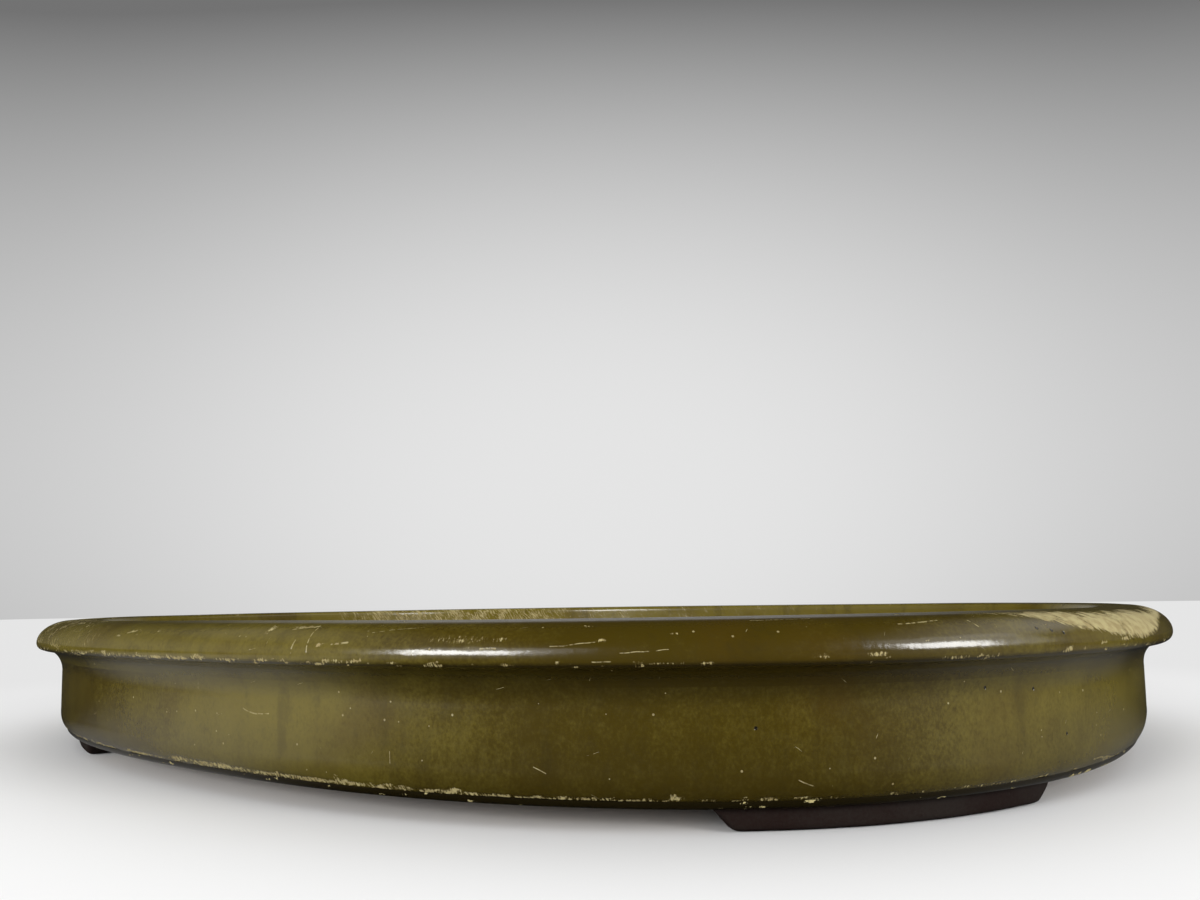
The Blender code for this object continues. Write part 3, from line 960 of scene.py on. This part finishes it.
def scratch(unrolled, first, last, width):
    """Return a mask along a straight scratch between two places on the unrolled surface."""
    start = place_unrolled(*first)
    run = place_unrolled(*last) - start
    from_start = vector_node("SUBTRACT", unrolled, start)
    share = dot(from_start, run) * (1 / run.length_squared)
    share = node(share.tree, "Clamp", {"Value": share})
    nearest = node(share.tree, "VectorMath", {"Vector": run, "Scale": share}, operation="SCALE")
    far = vector_node("DISTANCE", from_start, nearest, output=1)
    return 1 - mask(far, width * 0.3 * MM, width * 0.6 * MM)


def many_scratches(unrolled, scratches):
    """Return a mask of scattered scratches, with the placed ones among them."""
    found = strokes_at(unrolled, *STROKES[0])
    for stroke in STROKES[1:]:
        found = found | strokes_at(unrolled, *stroke)
    for placed in scratches:
        found = found | scratch(unrolled, *placed)
    return found


LIP_SCRATCHES = (
    ((-77.5, 34.5), (-77.8, 30.9), 0.5), ((-75.3, 32.7), (-73.3, 30.9), 0.6),
    ((-73.2, 31.5), (-72.8, 39.7), 0.35), ((-74.2, 40.1), (-74.2, 36.7), 0.4),
    ((-55.7, 38.2), (-53.2, 37.2), 0.22), ((-53.3, 41.6), (-52.3, 41.6), 0.3),
    ((-70.8, 37.7), (-69.5, 37.2), 0.5), ((-51.8, 39.7), (-49.2, 39.2), 0.2),
    ((-36.2, 33.3), (-33.5, 32.1), 0.4), ((-31.5, 32.7), (-31.2, 35), 0.35),
    ((-96.5, 35), (-95, 33.3), 0.5), ((-60, 38.7), (-59, 38.7), 0.4),
    ((-68, 34), (-64.5, 31.5), 0.18), ((-44.5, 30), (-41, 29), 0.18),
)
WALL_SCRATCHES = (
    ((-82.3, 8.1), (-80.8, 9.6), 0.35), ((-80.8, 9.6), (-79.3, 9), 0.3),
    ((-67.8, 16.2), (-67.8, 19.2), 0.22), ((-41.9, 20.8), (-41, 22.4), 0.25),
    ((-57.6, 18.2), (-56.8, 19.4), 0.2), ((-18.2, 23.8), (-15.6, 24.6), 0.5),
    ((-15.6, 24.6), (-13.3, 26.2), 0.5),
)
print(len(LIP_SCRATCHES) + len(WALL_SCRATCHES), "scratches are placed one by one")

# %% Spots of cream clay and dark pinholes, each at a bearing and a place along the section
SPOT_RADIUS = 0.36
PINHOLE_RADIUS = 0.55
LIP_SPOTS = ((-63.3, 38.7), (-47.8, 34.5), (-45.7, 36.1), (-43.2, 35))
LIP_PINHOLES = ((-27, 36), (-25.9, 36.8), (-25, 37.6))
WALL_SPOTS = (
    (-99, 8.1), (-88.7, 10), (-84.8, 18.1), (-76.2, 16.2), (-71.8, 8.1), (-68.2, 8.7),
    (-63, 6.9), (-50.2, 6.2), (-45.2, 18.7), (-37.3, 16.8), (-28.2, 3.7), (-19.7, 5.6),
)
WALL_PINHOLES = ((-44.3, 9.4), (-29.5, 2.5), (-25.3, 3.7), (-22, 15.6))


def placed_dots(unrolled, places, radius):
    """Return a mask of round dots at places on the unrolled surface."""
    nearest = 1.0
    for place in places:
        far = vector_node("DISTANCE", unrolled, place_unrolled(*place), output=1)
        nearest = math_node("MINIMUM", far, nearest)
    return 1 - mask(nearest, radius * 0.5 * MM, radius * MM)


print(len(LIP_SPOTS) + len(WALL_SPOTS), "spots are placed one by one")

# %% [markdown]
# Wear comes in three stages. First the glaze is thin and tan, then it breaks into ticks and
# crumbs, and at last the cream clay lies bare. The attribute `worn` says how far each place has
# come, and noise that is finer along the rim than across it breaks it up, but only where there is
# wear. The large patch on the lip was brushed at a slant, so its noise is turned. A noise is given
# by its scale, its detail and its roughness.

# %% Worn glaze
TICKS = (1.0, 2)
TICK_SCALES = (2100, 480, 1)
CRUMBS = (1100, 3, 0.7)
BRUSHED = (1.0, 4, 0.65)
BRUSH_SCALES = (170, 1300, 1)
BRUSH_ANGLE = -50
CLUMPS = (130, 3)
SCRATCH_BREAKS = (900, 2)
WOBBLE = {"Scale": 180.0, "Detail": 1.0}
WEAR_WOBBLE = Vector((3, 3, 0)) * MM
SCRATCH_WOBBLE = Vector((1, 1, 0)) * MM


def strong_noise(where, kind):
    return mask(noise_at(where, *kind), 0.3, 0.7)


def worn_share(unrolled, where, scratches, spots):
    """Return how thin the glaze is, and where the clay is bare."""
    tree = where.tree
    wobble = node(tree, "TexNoise", {"Vector": where, **WOBBLE}, output=1)
    wobble = vector_node("SUBTRACT", wobble, Vector((0.5, 0.5, 0.5)))
    wobbled = vector_node("MULTIPLY_ADD", wobble, WEAR_WOBBLE, unrolled)
    bowed = vector_node("MULTIPLY_ADD", wobble, SCRATCH_WOBBLE, unrolled)
    ticks = strong_noise(stretched(wobbled, TICK_SCALES), TICKS)
    crumbs = strong_noise(where, CRUMBS)
    worn = attribute(tree, "worn")
    ragged = worn + (swing(ticks, 0.75) + swing(crumbs, 0.6)) * mask(worn, 0.0, 0.35)

    brushed = strong_noise(stretched(turned_by(wobbled, BRUSH_ANGLE), BRUSH_SCALES), BRUSHED)
    clumps = strong_noise(where, CLUMPS)
    rubbed = attribute(tree, "rubbed")
    broken = swing(brushed, 0.85) + swing(clumps, 0.35) + swing(crumbs, 0.25)
    rubbed = rubbed + broken * mask(rubbed, 0.0, 0.3)

    scratched = many_scratches(bowed, scratches) * mask(noise_at(where, *SCRATCH_BREAKS), 0.36, 0.56)
    specks = dots_at(where, 190, 0.06, 0.25) | dots_at(where, 480, 0.1, 0.05)
    specks = specks | placed_dots(unrolled, spots, SPOT_RADIUS)
    bared = mask(ragged, 0.72, 0.86) | mask(rubbed, 0.5, 0.6) * 0.92 | scratched * 0.75 | specks * 0.7
    thinned = mask(ragged, 0.3, 0.85) | mask(rubbed, 0.2, 0.6)
    return thinned, bared


# %% Colour of the unworn glaze
CLOUD = (14, 3, 0.55)
MOTTLE = (75, 4, 0.6)
FRECKLE = (420, 3, 0.65)
GRAIN = (1300, 2, 0.6)
RUNS = (150, 3)
BROWN_DRIFTS = (26, 3)


def sound_glaze(where, cloud, mottle, freckle, grain):
    """Mix the colour of unworn glaze: pale clouds with painted sheen, brown drifts, dark runs, and
    painted shade in the hollows.
    """
    tree = where.tree
    # The pale share mixes the glaze's own clouds with painted sheen, which is laid down by bearing.
    pale_and_sheen = attribute(tree, "pale_and_sheen") + swing(cloud, 1.0) + swing(mottle, 0.9)
    pale_and_sheen = pale_and_sheen + swing(freckle, 0.9) + swing(grain, 1.1)
    runs = noise_at(stretched(where, (1, 1, 0.2)), *RUNS)
    glaze = blend(mask(pale_and_sheen, -0.3, 1.2), OLIVE, PALE_OLIVE_AND_SHEEN)
    glaze = blend(mask(noise_at(where, *BROWN_DRIFTS), 0.5, 0.68) * 0.4, glaze, GLAZE_BROWN)
    glaze = blend(mask(runs + swing(freckle, 0.5), 0.5, 0.75) * 0.35, glaze, OLIVE_DEEP)
    # Painted shade: darker under the lip, towards the bottom of the wall, and on the toe's underside.
    return blend(attribute(tree, "painted_shade") * 0.8, glaze, OLIVE_IN_SHADE)


# %% Glaze, worn and scratched down to the clay
COAT_WEIGHT = 0.15
COAT_ROUGHNESS = 0.36
GLAZE_GLOSS = 0.6
GLAZE_RELIEF = 0.08


def make_glaze(name, scratches, spots, pinholes):
    """Mix a worn olive glaze that ends in a wavy line wherever the clay was left raw."""
    material, tree, shader = new_finish(name)
    where = object_place(tree)
    unrolled = node(tree, "UVMap", uv_map="unrolled")
    cloud = noise_at(where, *CLOUD)
    mottle = noise_at(where, *MOTTLE)
    freckle = noise_at(where, *FRECKLE)
    grain = noise_at(stretched(where, (1, 1, 0.8)), *GRAIN)
    glaze = sound_glaze(where, cloud, mottle, freckle, grain)

    thinned, bared = worn_share(unrolled, where, scratches, spots)
    raw = mask(attribute(tree, "raw") + swing(cloud, 0.9) + swing(mottle, 0.3), 0.47, 0.53)
    cream = blend(mask(freckle, 0.35, 0.62), WORN_TAN, WORN_CREAM)
    clay = blend(mask(mottle + swing(grain, 0.5), 0.35, 0.6), CLAY_DARK, CLAY)
    painted = blend(thinned * 0.35, glaze, WORN_TAN)
    painted = blend(bared, painted, cream)
    pits = dots_at(where, 60, 0.03, 0.3) | placed_dots(unrolled, pinholes, PINHOLE_RADIUS)
    painted = blend(pits, painted, PINHOLE)
    matt = bared | raw
    height = mottle * 0.6 + freckle * 0.6 + grain * 0.08 - bared * 0.5 - pits - raw * 1.5
    fill(shader, {
        "Base Color": blend(raw, painted, clay),
        "Roughness": 0.15 + matt * 0.6 + thinned * 0.15 + (freckle - 0.4) * 0.2,
        "Coat Weight": (1 - matt) * COAT_WEIGHT,
        "Coat Roughness": COAT_ROUGHNESS,
        "Specular IOR Level": GLAZE_GLOSS,
        "Normal": relief(height, GLAZE_RELIEF),
    })
    print(name, "has", len(tree.nodes), "nodes")
    return material


lip_glaze = make_glaze("lip_glaze", LIP_SCRATCHES, LIP_SPOTS, LIP_PINHOLES)
wall_glaze = make_glaze("wall_glaze", WALL_SCRATCHES, WALL_SPOTS, WALL_PINHOLES)

# %% [markdown]
# ## Bare clay
# Inside and underneath the clay was left bare. It is a buff stoneware with fine sand in it, and it
# is stained by soil. Only the floor's narrow edge was dipped with the rest, and its glaze is painted
# nearly black as painted shade under the wall's toe. The feet were washed with iron slip, and their
# colour is darkened further as painted shade under the pot.

# %% Clay of the floor, the coil and the feet
STAIN = (24, 5, 0.7)
SAND = (1300, 2, 0.7)
CLAY_ROUGHNESS = 0.8
CLAY_GLOSS = 0.15
BAND_GLOSS = 0.4
CLAY_RELIEF = 0.1


def start_clay(name, pale, dark):
    """Start a bare clay, and return its stains, its colour and its sand's height as well."""
    material, tree, shader = new_finish(name)
    where = object_place(tree)
    stain = noise_at(where, *STAIN)
    sand = noise_at(where, *SAND)
    grog = dots_at(where, 520, 0.25, 0.25)
    painted = blend(mask(stain + swing(sand, 0.5), 0.3, 0.75), dark, pale)
    painted = blend(grog * 0.35, painted, dark)
    return material, shader, where, stain, painted, sand + grog * 0.5


def make_clay(name, pale, dark):
    material, shader, where, _, painted, height = start_clay(name, pale, dark)
    fill(shader, {
        "Base Color": painted,
        "Roughness": CLAY_ROUGHNESS,
        "Specular IOR Level": CLAY_GLOSS,
        "Normal": relief(height, CLAY_RELIEF),
    })
    return material


def make_floor_clay(name):
    """Mix the floor's bare clay, with the glazed band along its edge painted near black as shade under
    the wall's toe.
    """
    material, shader, where, stain, painted, height = start_clay(name, CLAY, CLAY_DARK)
    tree = where.tree
    glazed = mask(attribute(tree, "glazed") + swing(stain, 0.8), 0.45, 0.55)
    bared = mask(attribute(tree, "worn") + swing(strong_noise(where, CRUMBS), 0.8), 0.62, 0.75)
    # The band's near-black glaze is painted shade under the wall's toe; its cream marks are wear.
    band = blend(bared, OLIVE_IN_SHADE, WORN_CREAM)
    fill(shader, {
        "Base Color": blend(glazed, painted, band),
        "Roughness": CLAY_ROUGHNESS - glazed * (1 - bared) * 0.6,
        "Specular IOR Level": BAND_GLOSS,
        "Normal": relief(height * (1 - glazed), CLAY_RELIEF),
    })
    return material


floor_clay = make_floor_clay("floor_clay")
coil_clay = make_clay("coil_clay", CLAY, CLAY_DARK)
foot_clay = make_clay("foot_clay", FOOT_SHADE_RED, FOOT_SHADE_BROWN)

# %% Give each piece its finish and its body, and hide the imported node it stands for
dressed = [
    (lip, "lip", "lip_glaze", lip_glaze),
    (wall, "wall", "wall_glaze", wall_glaze),
    (floor, "floor", "floor_clay", floor_clay),
    (coil, "corner_coil", "coil_clay", coil_clay),
]
dressed += [(foot, node_name, "foot_clay", foot_clay) for node_name, foot in feet.items()]
for piece, node_name, slot, finish in dressed:
    piece.data.materials.clear()
    piece.data.materials.append(finish)
    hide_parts(node_name)
    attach(piece, "root")
print(len(dressed), "pieces stand for the packed nodes")

# %% [markdown]
# ## Studio
# The studio is a world that is bright ahead of the camera and shades off towards its corners. The
# glaze sees less of it: a glow on either side, another high up, and almost nothing behind the
# camera. A deep glaze looks deep because the side that faces the camera has little to reflect.

# %% Where the camera looks, and how bright each part of the studio is
UP = Vector((0, 0, 1))
AHEAD = camera_turned @ -UP
AHEAD = Vector((AHEAD.x, AHEAD.y, 0)).normalized()
ACROSS = AHEAD.cross(UP)
BACKDROP = 0.78
BACKDROP_LEAST = 0.17
BACKDROP_CENTRE = 0.12
BACKDROP_REACH = 0.56
BACKDROP_ASIDE = 0.36
BACKDROP_BLEND = 0.2
BACKDROP_FALL = 2.6
ROOM_LIGHT = 0.78
SIDE_GLOW = 0.27
SIDE_GLOW_TILT = 0.12
BACKDROP_GLOW = 0.33
HIGH_GLOW_RIGHT = 0.9
HIGH_GLOW_LEFT = 0.25
LEAST_GLOW = 0.015
print("the camera looks along", [round(part, 2) for part in AHEAD])

# %% Studio
world = bpy.context.scene.world or bpy.data.worlds.new("studio")
bpy.context.scene.world = world
world.use_nodes = True
studio = world.node_tree
towards = node(studio, "TexCoord")
sideways = dot(towards, ACROSS) * 0.6
height = dot(towards, UP) - BACKDROP_CENTRE
behind = dot(towards, -AHEAD)
aside = math_node("SMOOTH_MIN", abs(sideways), BACKDROP_ASIDE, BACKDROP_BLEND)
spread = (aside * aside + height * height) ** 0.5
backdrop = (1 - (spread * (1 / BACKDROP_REACH)) ** BACKDROP_FALL) * BACKDROP | BACKDROP_LEAST
side_glow = between(behind, -0.9, 0.15, 0.15, 0.85) * (SIDE_GLOW - SIDE_GLOW_TILT * sideways)
backdrop_glow = (1 - mask(behind, -1.0, -0.85)) * BACKDROP_GLOW
high_glow = mask(sideways, 0.24, 0.48) * HIGH_GLOW_RIGHT | mask(-1 * sideways, 0.2, 0.4) * HIGH_GLOW_LEFT
high_glow = high_glow * between(height, 0.25, 0.5, 0.7, 0.85)
reflected = (side_glow | backdrop_glow) * (1 - mask(abs(height), 0.1, 0.7)) | high_glow | LEAST_GLOW

seen_by_camera = node(studio, "LightPath")
seen_in_gloss = node(studio, "LightPath", output=3)
brightness = reflected * seen_in_gloss + ROOM_LIGHT * (1 - seen_in_gloss)
brightness = backdrop * seen_by_camera + brightness * (1 - seen_by_camera)
fill(studio.nodes["Background"], {"Color": grey(brightness)})
print("the studio has", len(studio.nodes), "nodes")

# %% [markdown]
# ## Table and lamps
# The pot stands on a plain pale table top. Close to the pot the table takes shadows, and further
# out it glows by itself, so that it is as pale there from every side. In the glaze it reflects
# only at the sides. A small bright window and a large dim soft box stand on either side of the
# camera, where their reflections fall on the lip as they do in the photograph.

# %% Table top
TABLE_RADIUS = 6.0
TABLE_GREY = 0.86
TABLE_GLOW = 0.78
TABLE_SIDE_GLOW = 0.36
TABLE_SIDE_GLOW_TILT = 0.20
bpy.ops.object.select_all(action="DESELECT")
bpy.ops.mesh.primitive_circle_add(vertices=96, radius=TABLE_RADIUS, fill_type="NGON")
table_top = bpy.context.object
table_top.name = "table_top"
table_paint, table_tree, table_shader = new_finish("table_paint")
in_gloss = node(table_tree, "LightPath", output=3)
where = object_place(table_tree)
near = 1 - mask(vector_node("LENGTH", where, output=1), 0.24, 0.52)
direction = vector_node("NORMALIZE", where)
behind = dot(direction, -AHEAD)
side_glow = TABLE_SIDE_GLOW - TABLE_SIDE_GLOW_TILT * dot(direction, ACROSS)
side_glow = between(behind, 0.1, 0.7, 0.82, 0.97) * side_glow + LEAST_GLOW
shaded = in_gloss * (1 - side_glow)
fill(table_shader, {
    "Base Color": grey(near * TABLE_GREY * (1 - shaded)),
    "Roughness": 0.9,
    "IOR": 1.2,
    "Emission Color": grey((1 - near) * (1 - shaded) * TABLE_GLOW),
    "Emission Strength": 1.0,
})
table_top.data.materials.append(table_paint)
print("the table is", 2 * TABLE_RADIUS, "metres wide")

# %% Lamps, each with its turn from the front, its elevation, width, height and power
LAMP_CENTRE = Vector((0.1, -0.15, 0.04))
LAMP_DISTANCE = 1.6
LAMPS = (
    ("left_window", -11, 16, 0.6, 0.46, 16.4),
    ("left_softbox", -5, 25, 0.9, 0.65, 2.3),
    ("right_window", 90, 17, 0.6, 0.5, 13.8),
    ("right_softbox", 99, 24, 1.1, 1, 3),
)
for lamp_name, turn, elevation, width, height, power in LAMPS:
    azimuth = math.radians(turn)
    towards = Vector((math.sin(azimuth), -math.cos(azimuth), math.tan(math.radians(elevation))))
    bpy.ops.object.light_add(type="AREA", location=LAMP_CENTRE + towards * LAMP_DISTANCE)
    lamp = bpy.context.object
    lamp.name = lamp_name
    lamp.rotation_euler = towards.to_track_quat("Z", "Y").to_euler()
    lamp.data.shape = "RECTANGLE"
    lamp.data.size = width
    lamp.data.size_y = height
    lamp.data.energy = power
    print(lamp_name, "gives", power, "watts")
bpy.context.scene.view_settings.view_transform = "Standard"
